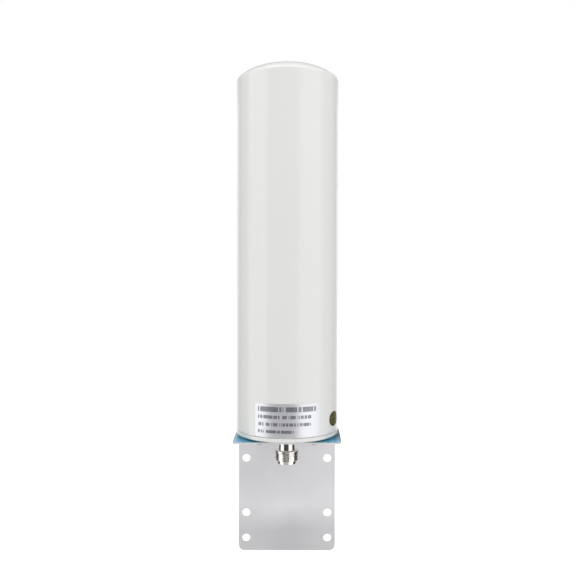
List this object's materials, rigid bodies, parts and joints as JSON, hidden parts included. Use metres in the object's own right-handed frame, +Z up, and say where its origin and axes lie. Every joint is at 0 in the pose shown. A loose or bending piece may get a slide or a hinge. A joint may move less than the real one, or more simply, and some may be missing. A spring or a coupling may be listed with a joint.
{
  "type": "omnidirectional antenna",
  "caption": "Upright white tube antenna with a low domed top, standing on the flange of a folded metal L-bracket with bolt holes; a threaded coaxial jack points down under the flange.",
  "frame": {"origin": "middle of the bracket's mounting face, half-way between its upper and lower rows of bolt holes", "axes": "+Z up along the tube, +Y out of the mounting face towards the mast or wall, +X to the right of someone who looks at the label"},
  "size_m": [0.0694, 0.0682, 0.3342],
  "materials": {
    "white_plastic": "off-white moulded ABS, semi-gloss",
    "bracket_aluminium": "mill-finish sheet, satin",
    "blue_film": "thin translucent protective film",
    "silver_foil": "glossy silver foil",
    "gold_foil": "dark olive-gold foil",
    "nickel_plate": "bright nickel plate",
    "steel": "zinc-plated steel",
    "gold_plate": "gold-plated brass",
    "ptfe": "white PTFE",
    "rubber": "black rubber",
    "circuit_board": "green glass-epoxy laminate",
    "copper": "bare copper",
    "cable_braid": "tinned copper outer conductor",
    "solder": "dull solder",
    "foam": "closed-cell polyethylene foam"
  },
  "bodies": {
    "root": {"radome_shell": "white_plastic", "base_cap": "white_plastic", "cap_o_ring": "rubber", "name_label": "silver_foil", "inspection_sticker": "gold_foil", "mounting_bracket": "bracket_aluminium", "protective_film": "blue_film", "bracket_screw_1": "steel", "bracket_screw_2": "steel", "bracket_screw_3": "steel", "bracket_screw_4": "steel", "connector_body": "nickel_plate", "connector_insulator": "ptfe", "connector_contact": "gold_plate", "connector_gasket": "rubber", "connector_lock_washer": "steel", "connector_nut": "steel", "feed_board": "circuit_board", "low_band_arm_upper": "copper", "low_band_arm_lower": "copper", "high_band_arm_1": "copper", "high_band_arm_2": "copper", "high_band_arm_3": "copper", "high_band_arm_4": "copper", "feed_cable": "cable_braid", "feed_cable_core": "copper", "solder_joint": "solder", "cable_strap_1": "copper", "cable_strap_2": "copper", "foam_disc_middle": "foam", "foam_disc_top": "foam", "board_angle_1": "steel", "angle_screw_1": "steel", "board_screw_1": "steel", "board_nut_1": "steel", "board_angle_2": "steel", "angle_screw_2": "steel", "board_screw_2": "steel", "board_nut_2": "steel"}
  },
  "joints": []
}
